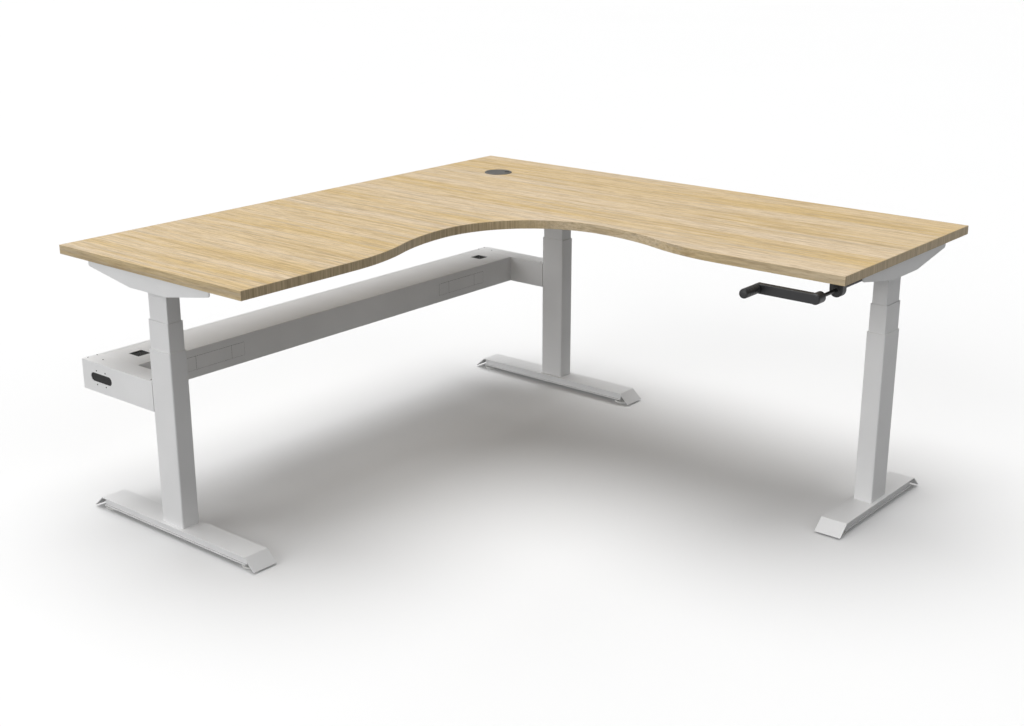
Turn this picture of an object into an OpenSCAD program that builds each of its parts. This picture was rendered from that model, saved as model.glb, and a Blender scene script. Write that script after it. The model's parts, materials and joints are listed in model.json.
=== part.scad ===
// L-shaped height adjustable standing desk with a hand crank.
// Origin on the floor under the middle of the square that the top fits in, +Z up, millimetres.
// The user stands in the open corner, towards +X and -Y.

/* [Worktop] */
// Length of each wing along the wall
top_length = 1800; // [1600:10:2200]
// Depth of each wing at its free end
wing_depth = 750; // [700:10:900]
// Depth of the wings where they meet the inner corner curve
neck_depth = 675; // [560:5:680]
// Radius of the inner corner curve
corner_r = 315; // [200:5:360]
// Length of the S-shaped run from the neck to the full depth
blend_length = 430; // [250:10:500]
// Thickness of the board
top_thickness = 25; // [20:1:32]
// Thickness of the edge band
band = 2; // [1:0.5:3]

/* [Height] */
// Height of the working surface at rest
desk_height = 766; // [650:1:1230]

/* [Grommet] */
// Distance of the cable grommet from both back edges
grommet_inset = 233; // [180:1:300]
// Hole through the board
grommet_hole = 80; // [60:1:90]
// Width of the cable notch in the cap
notch_w = 16; // [8:1:20]

/* [Legs] */
// Distance of the left wing's legs from the back edge
left_line = 375; // [300:1:420]
// Distance of the right leg from the back edge
right_line = 387; // [300:1:420]
// Distance of the left leg's centre from the end of its wing
left_inset = 53; // [53:1:90]
// Distance of the corner leg's centre from the back edge
corner_inset = 84; // [60:1:120]
// Distance of the right leg's centre from the end of its wing
right_inset = 56; // [53:1:90]

/* [Columns] */
// Outer tube's length along its foot
tube_l = 88; // [84:1:110]
// Outer tube's width across its foot
tube_w = 56; // [54:1:78]
// Outer tube's corner radius
tube_r = 4.5; // [4:0.5:12]
// Wall of every tube
tube_wall = 1.8; // [1.2:0.1:2.2]
// Gap between one tube and the next
tube_gap = 1.2; // [1:0.1:1.6]
// Height of the outer tube
tube_h = 495; // [480:1:600]

/* [Feet] */
// Flat length of the two feet of the left wing
foot_flat = 616; // [480:1:700]
// Flat length of the right wing's foot
short_flat = 421; // [340:1:700]
// Width of a foot
foot_w = 78; // [72:1:100]
// Height of a foot
foot_h = 38; // [36:1:50]
// Run of the sloping end
foot_slope = 36; // [30:1:50]
// Gap under the tip of the slope
tip_gap = 6; // [4:1:10]
// Diameter of a levelling glide
glide_d = 60; // [40:1:66]

/* [Brackets] */
// Length of a side bracket
bracket_l = 500; // [400:10:600]
// Depth of the bracket at its middle
bracket_deep = 44; // [36:1:60]
// Depth of the bracket at its ends
bracket_end = 15; // [12:1:22]

/* [Crank] */
// Crank radius, from the shaft to the grip
crank_r = 164; // [120:1:200]
// Length of the grip
grip_l = 68; // [60:1:120]
// Diameter of the grip
grip_d = 26; // [20:1:32]
// Diameter of all the drive shafts
shaft_d = 10; // [8:0.5:11]

/* [Cable beam] */
// Height of the beam's underside above the floor
beam_z = 354; // [200:1:380]
// Height of the beam
beam_h = 86; // [60:1:110]
// Width of the spine
beam_w = 170; // [120:1:200]
// Width of the two end arms
arm_w = 62; // [50:1:80]
// Reach of the arms from the leg to the beam's back
arm_reach = 314; // [290:1:330]
// Sheet of the beam
beam_t = 2; // [1.5:0.1:3]
// Side of the square cable cut-outs in the lid
cutout = 45; // [30:1:60]
// Length of the slot in an arm
slot_l = 94; // [60:1:110]
// Height of the slot in an arm
slot_h = 25; // [15:1:35]

/* [Hidden] */
$fn = 48;

// clearances and small allowances
eps = 0.01;        // keeps a cutter clear of the face it cuts
slide_play = 0.2;  // between a guide and the tube that slides in it
run_play = 0.08;   // round a turning shaft, on the radius
bolt_play = 0.1;   // round a bolt, on the radius
seat_play = 0.2;   // round a part that drops into a seat, on the radius
end_play = 0.2;    // along a shaft, between faces that turn past each other

// a leg is [x, y, turn, side that its bracket's cheek is on, flat length of its foot]
half = top_length / 2;
LEFT = [left_line - half, left_inset - half, 0, -1, foot_flat];
CORNER = [left_line - half, half - corner_inset, 0, 1, foot_flat];
RIGHT = [half - right_inset, half - right_line, -90, 1, short_flat];
LEGS = [LEFT, CORNER, RIGHT];

// tubes, one inside the next
step = 2 * (tube_wall + tube_gap);
mid_l = tube_l - step;
mid_w = tube_w - step;
mid_r = max(tube_r - step / 2, 3);
in_l = mid_l - step;
in_w = mid_w - step;
in_r = max(mid_r - step / 2, 2.5);
guide_t = tube_gap - slide_play;

// heights of the head, from the board's underside down
under_z = desk_height - top_thickness;
web_t = 3;
box_h = 48;
box_top = under_z - web_t;
box_z = box_top - box_h;
shaft_z = under_z - 33;

// how far each stage stands out at rest
tube_top = foot_h + tube_h;
stage_lip = 15;
head_gap = 12;
floor_gap = 12;
plate_gap = 9;
post_plate = 6;
middle_h = tube_h + stage_lip - floor_gap;
inner_h = middle_h + head_gap - post_plate - plate_gap;
low_height = tube_top + stage_lip + head_gap + desk_height - box_z;
stage_out = (desk_height - low_height) / 2;
middle_top = tube_top + stage_lip + stage_out;
middle_z = middle_top - middle_h;
inner_z = box_z - inner_h;

// lifting screws
flange_t = 6;
nut_h = 20;
base_post_d = 26;
base_post_wall = 2.5;
base_nut_top = tube_top - 78;
lower_d = 20;
lower_bore = 13;
post_d = 34;
post_bore = 28;
ledge_t = 6;
collar_h = 7.6;
post_top = middle_top - 65;
ledge_top = post_top - collar_h - 2 * end_play;
lower_z = middle_top - 423;
upper_d = 12;
upper_z = box_z - 390;
neck_d = 10;

// bevel gears: a pinion drives the wheel on each lifting screw, two equal ones turn the corner
pinion_r = 10;
wheel_r = 15;
mitre_r = 12;
gear_near = 0.6;
gear_mesh = 0.6;
gear_hub = 5;
gear_hub_r = 8;
box_l = 84;
box_w = 60;
box_wall = 4;

// rails under the top
rail_w = 30;
rail_h = 20;
rail_wall = 2;
rail_off = box_w / 2 + 4;

// side brackets
cheek_off = 50;
cheek_r = bracket_end / 2 - 0.5;
cheek_flat = 150;
inner_cheek = 20;
screw_d = 5;
screw_head = 10;
screw_len = 15;
screw_x = [bracket_l / 2 - 30, bracket_l / 2 - 130];

// feet
plate_t = 3;
channel_w = 58;
channel_t = 3;
lip_w = 5;
lip_z = tip_gap + 6;
pad_h = 6;
stud_d = 8;
boss_d = 16;
stud_top = foot_h - plate_t - channel_t - 2;
bolt_d = 8;
bolt_x = 30;
bolt_y = 14;

// crank
arm_h = 26;
arm_t = 20;
hub_d = 30;
hub_l = 16;
arm_gap = 31;
arm_y0 = half - wing_depth - arm_gap - arm_t;
block_w = 38;
block_l = 22;
block_y = half - wing_depth + 64;
pin_d = 8;
pin_end = 10;
grip_gap = 0.8;

// grommet
ring_flange = grommet_hole + 12;
ring_wall = 4.8;
ring_depth = 18;
ring_proud = 2;
ring_rebate = 0.5;
ring_seat = 1;
cap_t = 3;
cap_d = grommet_hole - 2.4;
notch_l = 17;
notch_turn = 40;
grommet_x = grommet_inset - half;
grommet_y = half - grommet_inset;

// cable beam
tube_back = LEFT[0] - tube_l / 2;
beam_x = tube_back - arm_reach;
arm_left_y = LEFT[1] - tube_w / 2;
arm_corner_y = CORNER[1] - tube_w / 2;
spine_y0 = arm_left_y + arm_w;
spine_y1 = arm_corner_y;
rim = 12;
ledge = 6;
lid_play = 0.3;
slot_x = beam_x + beam_w / 2;
door_inset = 14;
cutout_inset = 49;
socket_l = 226;
socket_h = 40;
socket_mid = 130;
socket_inset = 263;
socket_groove = 0.6;

// ---------- outlines ----------

module rounded_rect(l, w, r) {
    square([l - 2 * r, w], center = true);
    square([l, w - 2 * r], center = true);
    for (x = [-1, 1], y = [-1, 1])
        translate([x * (l / 2 - r), y * (w / 2 - r)]) circle(r);
}

module tube(l, w, r, wall, h) {
    linear_extrude(h) difference() {
        rounded_rect(l, w, r);
        rounded_rect(l - 2 * wall, w - 2 * wall, r - wall);
    }
}

// The board's outline, pulled in by d. Its points run along both wings from the outer corner.
module top_outline(d) {
    inner = wing_edge(d);
    bay = arc(curve_c, curve_c, corner_r + d, 180, 270, 36);
    translate([-half, half]) mirror([0, 1]) polygon(concat(
        [[top_length - d, d], [d, d], [d, top_length - d]],
        [for (i = [len(inner) - 1 : -1 : 0]) inner[i]],
        [for (i = [1 : len(bay) - 2]) bay[i]],
        [for (p = inner) [p[1], p[0]]]));
}

curve_c = neck_depth + corner_r;
blend_drop = wing_depth - neck_depth;
blend_r = (pow(blend_length, 2) + pow(blend_drop, 2)) / (4 * blend_drop);
blend_a = asin(blend_length / 2 / blend_r);

// The user's edge of one wing: two equal arcs blend the neck into the full depth.
function wing_edge(d) = concat(
    arc(neck_depth + blend_r, curve_c, blend_r + d, 180, 180 - blend_a, 11),
    [for (p = arc(wing_depth - blend_r, curve_c + blend_length, blend_r - d, -blend_a, 0, 11))
        if (p[1] > curve_c + (blend_r + d) * sin(blend_a) + eps) p],
    [[wing_depth - d, top_length - d]]);

function arc(x, y, r, from, to, steps) =
    [for (i = [0 : steps]) let (t = from + (to - from) * i / steps) [x + r * cos(t), y + r * sin(t)]];

// ---------- placing ----------

module at_leg(leg) {
    translate([leg[0], leg[1], 0]) rotate([0, 0, leg[2]]) children();
}

// Lays a shape drawn along +Z along +X or +Y.
module along_x() {
    rotate([0, 90, 0]) children();
}

module along_y() {
    rotate([-90, 0, 0]) children();
}

// ---------- worktop ----------

module worktop() {
    color("burlywood") difference() {
        translate([0, 0, under_z]) linear_extrude(top_thickness) top_outline(band);
        translate([grommet_x, grommet_y, under_z - 1]) cylinder(d = grommet_hole, h = top_thickness + 2);
        translate([grommet_x, grommet_y, desk_height - ring_rebate])
            cylinder(d = ring_flange + 2 * seat_play, h = 1);
        at_screws() translate([0, 0, under_z - eps]) cylinder(d = screw_d, h = screw_len + eps);
    }
}

module edge_band() {
    color("peru") translate([0, 0, under_z]) linear_extrude(top_thickness) difference() {
        top_outline(0);
        top_outline(band);
    }
}

module grommet_ring() {
    ring_r = grommet_hole / 2 - seat_play;
    seat_z = desk_height - ring_seat;
    color("dimgray") translate([grommet_x, grommet_y, 0]) difference() {
        union() {
            translate([0, 0, desk_height - ring_depth]) cylinder(r = ring_r, h = ring_depth);
            translate([0, 0, desk_height - ring_rebate])
                cylinder(d = ring_flange, h = ring_proud + ring_rebate);
        }
        translate([0, 0, desk_height - ring_depth - 1]) cylinder(r = ring_r - ring_wall, h = ring_depth + 4);
        translate([0, 0, seat_z]) cylinder(d = cap_d + 2 * seat_play, h = ring_proud + 4);
    }
}

module grommet_cap() {
    cap_z = desk_height - ring_seat + end_play / 2;
    color("dimgray") translate([grommet_x, grommet_y, cap_z]) rotate([0, 0, notch_turn]) difference() {
        cylinder(d = cap_d, h = cap_t - end_play / 2);
        translate([cap_d / 2 - notch_l, -notch_w / 2, -1]) cube([notch_l + 1, notch_w, cap_t + 2]);
    }
}

// ---------- columns ----------

module outer_tube(leg) {
    color("white") at_leg(leg) translate([0, 0, foot_h]) tube(tube_l, tube_w, tube_r, tube_wall, tube_h);
}

module middle_tube(leg) {
    color("white") at_leg(leg) translate([0, 0, middle_z]) tube(mid_l, mid_w, mid_r, tube_wall, middle_h);
}

module inner_tube(leg) {
    color("white") at_leg(leg) translate([0, 0, inner_z]) tube(in_l, in_w, in_r, tube_wall, inner_h);
}

// Plastic collars inside the outer tubes' mouths, in which the middle tubes slide.
module outer_glides() {
    collar_h = 40;
    color("gainsboro") for (leg = LEGS) at_leg(leg) translate([0, 0, tube_top - collar_h])
        tube(tube_l - 2 * tube_wall, tube_w - 2 * tube_wall, tube_r - tube_wall, guide_t, collar_h);
}

// Plastic sleeves round the inner tubes' feet, which slide in the middle tubes.
module inner_sliders() {
    sleeve_h = 40;
    color("gainsboro") for (leg = LEGS) at_leg(leg) translate([0, 0, inner_z])
        tube(in_l + 2 * guide_t, in_w + 2 * guide_t, in_r + guide_t, guide_t, sleeve_h);
}

// ---------- lifting screws ----------

// A post on the foot of each column, with the lower screw's nut on top.
module base_posts() {
    color("silver") for (leg = LEGS) at_leg(leg) {
        translate([0, 0, foot_h]) difference() {
            linear_extrude(flange_t)
                rounded_rect(tube_l - 2 * tube_wall - 4, tube_w - 2 * tube_wall - 4, tube_r - tube_wall);
            at_foot_bolts() translate([0, 0, -1]) cylinder(r = bolt_d / 2 + bolt_play, h = flange_t + 2);
        }
        translate([0, 0, foot_h + flange_t])
            ring(base_post_d, base_post_d - 2 * base_post_wall, base_nut_top - nut_h - foot_h - flange_t);
        translate([0, 0, base_nut_top - nut_h])
            ring(base_post_d, lower_d + 2 * run_play, nut_h);
    }
}

module ring(outer_d, inner_d, h) {
    difference() {
        cylinder(d = outer_d, h = h);
        translate([0, 0, -1]) cylinder(d = inner_d, h = h + 2);
    }
}

// The middle stage's post: a foot plate in the middle tube, a ledge for the lower screw's collar
// and the upper screw's nut on top.
module middle_post(leg) {
    color("silver") at_leg(leg) {
        translate([0, 0, middle_z]) difference() {
            linear_extrude(post_plate)
                rounded_rect(mid_l - 2 * tube_wall, mid_w - 2 * tube_wall, mid_r - tube_wall);
            translate([0, 0, -1]) cylinder(d = post_bore, h = post_plate + 2);
        }
        translate([0, 0, middle_z + post_plate]) ring(post_d, post_bore, post_top - middle_z - post_plate);
        translate([0, 0, ledge_top - ledge_t]) ring(post_bore, lower_d + 2 * run_play, ledge_t);
    }
    color("goldenrod") at_leg(leg) translate([0, 0, post_top])
        ring(post_d, upper_d + 2 * run_play, nut_h);
}

module lower_screw(leg) {
    color("gray") at_leg(leg) {
        difference() {
            union() {
                translate([0, 0, lower_z]) cylinder(d = lower_d, h = ledge_top - lower_z + end_play);
                translate([0, 0, ledge_top + end_play]) cylinder(d = post_bore - 2 * seat_play, h = collar_h);
            }
            translate([0, 0, lower_z - 1]) cylinder(d = lower_bore, h = ledge_top + collar_h - lower_z + 2);
        }
    }
}

module upper_screw(leg) {
    floor_z = box_z + box_wall;
    color("gray") at_leg(leg) {
        translate([0, 0, upper_z]) cylinder(d = upper_d, h = floor_z - upper_z);
        translate([0, 0, floor_z]) cylinder(d = neck_d, h = shaft_z + pinion_r + gear_hub - floor_z);
        translate([0, 0, shaft_z]) bevel_gear(wheel_r, pinion_r);
    }
}

// ---------- drive ----------

// A bevel gear whose cone has its tip at the origin: it is r in radius where it ends, reach along +Z.
module bevel_gear(r, reach) {
    teeth = round(1.2 * r);
    difference() {
        translate([0, 0, reach * gear_near])
            cylinder(r1 = r * gear_near - gear_mesh, r2 = r - gear_mesh, h = reach * (1 - gear_near));
        for (i = [0 : teeth - 1]) rotate([0, 0, i * 360 / teeth])
            translate([r - gear_mesh, 0, reach]) rotate([0, atan2(r, reach), 0])
                cube([2, 1.4, 2 * r], center = true);
    }
    translate([0, 0, reach]) cylinder(r = gear_hub_r, h = gear_hub);
}

// A gear housing, l along X. A shaft goes in through the side that each turn in ways points at,
// 0 being +X.
module gear_housing(l, ways) {
    color("darkgray") translate([0, 0, box_z]) difference() {
        translate([-l / 2, -box_w / 2, 0]) cube([l, box_w, box_h]);
        translate([box_wall - l / 2, box_wall - box_w / 2, box_wall])
            cube([l - 2 * box_wall, box_w - 2 * box_wall, box_h - 2 * box_wall]);
        for (turn = ways) rotate([0, 0, turn]) translate([gear_hub_r, 0, shaft_z - box_z])
            along_x() cylinder(d = shaft_d + 2 * run_play, h = box_l);
    }
}

// The housing on top of a leg, round the wheel of its lifting screw.
module leg_gearbox(leg, ways) {
    at_leg(leg) difference() {
        gear_housing(box_l, ways);
        translate([0, 0, box_z - 1]) cylinder(d = upper_d + 2 * run_play, h = box_wall + 2);
    }
}

// The wings' shafts meet in this box, hung from the board by a plate between the rails.
module transfer_gearbox() {
    translate([LEFT[0], RIGHT[1], 0]) {
        gear_housing(box_w, [0, 90, -90]);
        color("darkgray") translate([-box_w / 2, -box_w / 2 - 20, box_top]) cube([box_w, box_w + 40, web_t]);
    }
}

module crank_shaft() {
    start = arm_y0 + arm_t / 2;
    color("dimgray") {
        translate([RIGHT[0], start, shaft_z])
            along_y() cylinder(d = shaft_d, h = RIGHT[1] - wheel_r * gear_near - start);
        translate([RIGHT[0], RIGHT[1], shaft_z]) rotate([90, 0, 0]) bevel_gear(pinion_r, wheel_r);
    }
}

module cross_shaft() {
    start = LEFT[0] + mitre_r * gear_near;
    color("silver") {
        translate([start, RIGHT[1], shaft_z])
            along_x() cylinder(d = shaft_d, h = RIGHT[0] - wheel_r * gear_near - start);
        translate([LEFT[0], RIGHT[1], shaft_z]) rotate([0, 90, 0]) bevel_gear(mitre_r, mitre_r);
        translate([RIGHT[0], RIGHT[1], shaft_z]) rotate([0, -90, 0]) bevel_gear(pinion_r, wheel_r);
    }
}

module wing_shaft() {
    start = LEFT[1] + wheel_r * gear_near;
    color("silver") {
        translate([LEFT[0], start, shaft_z])
            along_y() cylinder(d = shaft_d, h = CORNER[1] - wheel_r * gear_near - start);
        translate([LEFT[0], LEFT[1], shaft_z]) rotate([-90, 0, 0]) bevel_gear(pinion_r, wheel_r);
        translate([LEFT[0], CORNER[1], shaft_z]) rotate([90, 0, 0]) bevel_gear(pinion_r, wheel_r);
        translate([LEFT[0], RIGHT[1], shaft_z]) rotate([90, 0, 0]) bevel_gear(mitre_r, mitre_r);
    }
}

// ---------- crank ----------

module bearing_block() {
    color("#2a2a2c") translate([RIGHT[0], block_y, 0]) difference() {
        union() {
            translate([-block_w / 2, 0, shaft_z]) cube([block_w, block_l, under_z - shaft_z]);
            translate([0, 0, shaft_z]) along_y() cylinder(d = block_w, h = block_l);
        }
        translate([0, -1, shaft_z]) along_y() cylinder(d = shaft_d + 2 * run_play, h = block_l + 2);
    }
}

module crank_arm() {
    grip_x = RIGHT[0] - crank_r;
    color("#2a2a2c") difference() {
        union() {
            translate([RIGHT[0], arm_y0, shaft_z]) along_y() cylinder(d = hub_d, h = arm_t + hub_l);
            translate([grip_x, arm_y0, shaft_z]) along_y() cylinder(d = arm_h, h = arm_t);
            translate([grip_x, arm_y0, shaft_z - arm_h / 2]) cube([crank_r, arm_t, arm_h]);
        }
        translate([RIGHT[0], arm_y0 + arm_t / 2, shaft_z]) along_y() cylinder(d = shaft_d, h = arm_t + hub_l);
        translate([grip_x, arm_y0 - 1, shaft_z]) along_y() cylinder(d = pin_d, h = arm_t + 2);
    }
}

module grip_pin() {
    color("silver") translate([RIGHT[0] - crank_r, arm_y0 - grip_gap - grip_l + pin_end, shaft_z])
        along_y() cylinder(d = pin_d, h = arm_t + grip_gap + grip_l - pin_end);
}

module grip() {
    color("#2a2a2c") translate([RIGHT[0] - crank_r, arm_y0 - grip_gap - grip_l, shaft_z]) difference() {
        along_y() cylinder(d = grip_d, h = grip_l);
        translate([0, pin_end - end_play, 0]) along_y() cylinder(d = pin_d + 2 * run_play, h = grip_l);
    }
}

// ---------- frame under the top ----------

// A bent sheet under the end of a wing: a web, a tapered outer cheek and a short inner cheek.
module side_bracket(leg) {
    side = leg[3];
    color("white") at_leg(leg) difference() {
        union() {
            translate([-bracket_l / 2, -cheek_off, box_top]) cube([bracket_l, 2 * cheek_off, web_t]);
            translate([0, side * (cheek_off - web_t / 2) + web_t / 2, under_z])
                rotate([90, 0, 0]) linear_extrude(web_t) cheek_outline();
            translate([-bracket_l / 2, -side * (cheek_off - web_t / 2) - web_t / 2, under_z - inner_cheek])
                cube([bracket_l, web_t, inner_cheek]);
        }
        bracket_screws() translate([0, 0, box_top - 1]) cylinder(d = screw_d + 2 * bolt_play, h = web_t + 2);
    }
}

module cheek_outline() {
    cheek_half();
    mirror([1, 0]) cheek_half();
}

module cheek_half() {
    corner_x = bracket_l / 2 - cheek_r;
    corner_z = cheek_r - bracket_end;
    fall = atan2(bracket_deep - bracket_end, corner_x - cheek_flat / 2);
    polygon([[0, 0], [bracket_l / 2, 0], [bracket_l / 2, corner_z], [corner_x, corner_z],
        [corner_x + cheek_r * sin(fall), corner_z - cheek_r * cos(fall)],
        [cheek_flat / 2, -bracket_deep], [0, -bracket_deep]]);
    translate([corner_x, corner_z]) circle(cheek_r);
}

// Places of the four screws of a bracket, in its leg's own frame.
module bracket_screws() {
    for (x = screw_x, side = [-1, 1]) translate([side * x, 0, 0]) children();
}

module at_screws() {
    for (leg = LEGS) at_leg(leg) bracket_screws() children();
}

module frame_screws() {
    color("silver") at_screws() {
        translate([0, 0, box_top - 3]) cylinder(d = screw_head, h = 3);
        translate([0, 0, box_top]) cylinder(d = screw_d, h = web_t + screw_len - 1);
    }
}

module rail(length) {
    difference() {
        cube([rail_w, length, rail_h]);
        translate([rail_wall, -1, rail_wall])
            cube([rail_w - 2 * rail_wall, length + 2, rail_h - 2 * rail_wall]);
    }
}

module left_wing_rails() {
    start = LEFT[1] + cheek_off;
    length = CORNER[1] - LEFT[1] - 2 * cheek_off;
    color("white") for (x = [rail_off, -rail_off - rail_w])
        translate([LEFT[0] + x, start, under_z - rail_h]) rail(length);
}

module right_wing_rails() {
    start = LEFT[0] + rail_off + rail_w;
    length = RIGHT[0] - cheek_off - start;
    color("white") for (y = [rail_off + rail_w, -rail_off])
        translate([start, RIGHT[1] + y, under_z - rail_h]) rotate([0, 0, -90]) rail(length);
}

// ---------- feet ----------

// A bent sheet, flat on top, whose ends slope down almost to the floor.
module foot_plate(leg) {
    flat = leg[4] / 2;
    tip = flat + foot_slope;
    slope = atan2(foot_h - tip_gap, foot_slope);
    inner_flat = flat - plate_t * tan(slope / 2);
    inner_tip = tip - plate_t / sin(slope);
    color("white") at_leg(leg) difference() {
        translate([0, foot_w / 2, 0]) rotate([90, 0, 0]) linear_extrude(foot_w) polygon([
            [-tip, tip_gap], [-flat, foot_h], [flat, foot_h], [tip, tip_gap],
            [inner_tip, tip_gap], [inner_flat, foot_h - plate_t],
            [-inner_flat, foot_h - plate_t], [-inner_tip, tip_gap]]);
        at_foot_bolts() translate([0, 0, foot_h - plate_t - 1])
            cylinder(r = bolt_d / 2 + bolt_play, h = plate_t + 2);
    }
}

// The channel under the plate, with lips along its lower edges and threaded bosses for the glides.
module foot_channel(leg) {
    length = leg[4] - 2 * plate_t;
    top_z = foot_h - plate_t;
    web_z = top_z - channel_t;
    color("whitesmoke") at_leg(leg) difference() {
        union() {
            translate([-length / 2, -channel_w / 2, web_z]) cube([length, channel_w, channel_t]);
            for (side = [-1, 1]) {
                translate([-length / 2, side * (channel_w - channel_t) / 2 - channel_t / 2, lip_z])
                    cube([length, channel_t, web_z - lip_z]);
                translate([-length / 2, side * (channel_w + lip_w) / 2 - lip_w / 2, lip_z])
                    cube([length, lip_w, channel_t]);
            }
            for (side = [-1, 1]) translate([side * glide_x(leg), 0, lip_z + 4])
                cylinder(d = boss_d, h = web_z - lip_z - 4);
        }
        for (side = [-1, 1]) translate([side * glide_x(leg), 0, lip_z])
            cylinder(r = stud_d / 2 + run_play, h = web_z - lip_z);
        at_foot_bolts() translate([0, 0, web_z - 1]) cylinder(r = bolt_d / 2 + bolt_play, h = channel_t + 2);
    }
}

function glide_x(leg) = leg[4] / 2 - plate_t - boss_d / 2 - 1;

module at_foot_bolts() {
    for (x = [-bolt_x, bolt_x], y = [-bolt_y, bolt_y]) translate([x, y, 0]) children();
}

module foot_bolts() {
    head_z = foot_h - plate_t - channel_t;
    color("silver") for (leg = LEGS) at_leg(leg) at_foot_bolts() {
        translate([0, 0, head_z - 5]) cylinder(d = 13, h = 5, $fn = 6);
        translate([0, 0, head_z]) cylinder(d = bolt_d, h = channel_t + plate_t + flange_t);
    }
}

// side is 1 at the end of the foot nearer the user, -1 at the other end.
module levelling_glide(leg, side) {
    color("gainsboro") at_leg(leg) translate([side * glide_x(leg), 0, 0]) {
        cylinder(d = glide_d, h = pad_h - 2);
        translate([0, 0, pad_h - 2]) cylinder(d1 = glide_d, d2 = glide_d - 6, h = 2);
        translate([0, 0, pad_h]) cylinder(d = stud_d, h = stud_top - pad_h);
    }
}

// ---------- cable beam ----------

// The spine: a tray between the two arms, with a rim and a ledge along each side for the lid.
module beam_spine() {
    length = spine_y1 - spine_y0;
    top_z = beam_h - beam_t;
    color("white") difference() {
        translate([beam_x, spine_y0, beam_z]) {
            cube([beam_w, length, beam_t]);
            for (x = [0, beam_w - beam_t]) translate([x, 0, beam_t]) cube([beam_t, length, beam_h - beam_t]);
            for (x = [beam_t, beam_w - rim]) translate([x, 0, top_z]) cube([rim - beam_t, length, beam_t]);
            for (x = [rim - beam_t, beam_w - rim - ledge]) translate([x, 0, top_z - beam_t])
                cube([ledge + beam_t, length, beam_t]);
        }
        at_sockets() translate([-1, -socket_l / 2, -socket_h / 2]) cube([beam_t + 2, socket_l, socket_h]);
    }
}

// Middle of each row of sockets, on the inside of the wall on the user's side.
module at_sockets() {
    for (y = [spine_y0 + socket_inset, spine_y1 - socket_inset])
        translate([beam_x + beam_w - beam_t, y, beam_z + beam_h / 2]) children();
}

module beam_lid() {
    lid_x = beam_x + rim + lid_play;
    lid_w = beam_w - 2 * (rim + lid_play);
    color("white") translate([0, 0, beam_z + beam_h - beam_t]) difference() {
        translate([lid_x, spine_y0 + lid_play, 0]) cube([lid_w, spine_y1 - spine_y0 - 2 * lid_play, beam_t]);
        for (y = [spine_y0 + cutout_inset, spine_y1 - cutout_inset - cutout])
            translate([beam_x + (beam_w - cutout) / 2, y, -1]) cube([cutout, cutout, beam_t + 2]);
    }
}

// A box arm from the spine back to its leg. Its slot is on the side away from the spine.
module beam_arm(y0, out) {
    wall_y = out < 0 ? y0 : y0 + arm_w - beam_t;
    door_y = out < 0 ? y0 + arm_w - beam_t : y0;
    color("white") difference() {
        translate([beam_x, y0, beam_z]) cube([arm_reach, arm_w, beam_h]);
        translate([beam_x + beam_t, y0 + beam_t, beam_z + beam_t])
            cube([arm_reach - 2 * beam_t, arm_w - 2 * beam_t, beam_h - 2 * beam_t]);
        translate([slot_x, wall_y - 1, beam_z + beam_h / 2])
            along_y() linear_extrude(beam_t + 2) slot_outline();
        translate([beam_x + door_inset, door_y - 1, beam_z + 6])
            cube([beam_w - 2 * door_inset, beam_t + 2, beam_h - door_inset]);
    }
}

module slot_outline() {
    square([slot_l - slot_h, slot_h], center = true);
    for (side = [-1, 1]) translate([side * (slot_l - slot_h) / 2, 0]) circle(d = slot_h);
}

// Knock-out blanks that close the socket openings: three fields on one backing strip.
module socket_plates() {
    side_l = (socket_l - socket_mid) / 2;
    color("whitesmoke") at_sockets() {
        translate([-1.5, -socket_l / 2 - 5, -socket_h / 2 - 4]) cube([1.5, socket_l + 10, socket_h + 8]);
        for (field = [[-socket_l / 2, side_l], [-socket_mid / 2, socket_mid], [socket_mid / 2, side_l]])
            translate([-eps, field[0] + socket_groove / 2, (socket_groove - socket_h) / 2])
                cube([beam_t + eps, field[1] - socket_groove, socket_h - socket_groove]);
    }
}

// ---------- nodes ----------

outer_tube(LEFT);  // outer_tube_left
outer_tube(CORNER);  // outer_tube_corner
outer_tube(RIGHT);  // outer_tube_right
foot_plate(LEFT);  // foot_plate_left
foot_plate(CORNER);  // foot_plate_corner
foot_plate(RIGHT);  // foot_plate_right
foot_channel(LEFT);  // foot_channel_left
foot_channel(CORNER);  // foot_channel_corner
foot_channel(RIGHT);  // foot_channel_right
base_posts();
outer_glides();
foot_bolts();
beam_spine();
beam_lid();
beam_arm(arm_left_y, -1);  // beam_arm_left
beam_arm(arm_corner_y, 1);  // beam_arm_corner
socket_plates();
levelling_glide(LEFT, 1);  // glide_left_front
levelling_glide(LEFT, -1);  // glide_left_back
levelling_glide(CORNER, 1);  // glide_corner_front
levelling_glide(CORNER, -1);  // glide_corner_back
levelling_glide(RIGHT, 1);  // glide_right_front
levelling_glide(RIGHT, -1);  // glide_right_back
middle_tube(LEFT);  // middle_tube_left
middle_tube(CORNER);  // middle_tube_corner
middle_tube(RIGHT);  // middle_tube_right
middle_post(LEFT);  // middle_post_left
middle_post(CORNER);  // middle_post_corner
middle_post(RIGHT);  // middle_post_right
lower_screw(LEFT);  // lower_screw_left
lower_screw(CORNER);  // lower_screw_corner
lower_screw(RIGHT);  // lower_screw_right
upper_screw(LEFT);  // upper_screw_left
upper_screw(CORNER);  // upper_screw_corner
upper_screw(RIGHT);  // upper_screw_right
inner_tube(LEFT);  // inner_tube_left
inner_tube(CORNER);  // inner_tube_corner
inner_tube(RIGHT);  // inner_tube_right
inner_sliders();
side_bracket(LEFT);  // side_bracket_left
side_bracket(CORNER);  // side_bracket_corner
side_bracket(RIGHT);  // side_bracket_right
leg_gearbox(LEFT, [90]);  // gearbox_left
leg_gearbox(CORNER, [-90]);  // gearbox_corner
leg_gearbox(RIGHT, [0, -90]);  // gearbox_right
transfer_gearbox();
left_wing_rails();
right_wing_rails();
frame_screws();
worktop();
edge_band();
grommet_ring();
grommet_cap();
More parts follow.
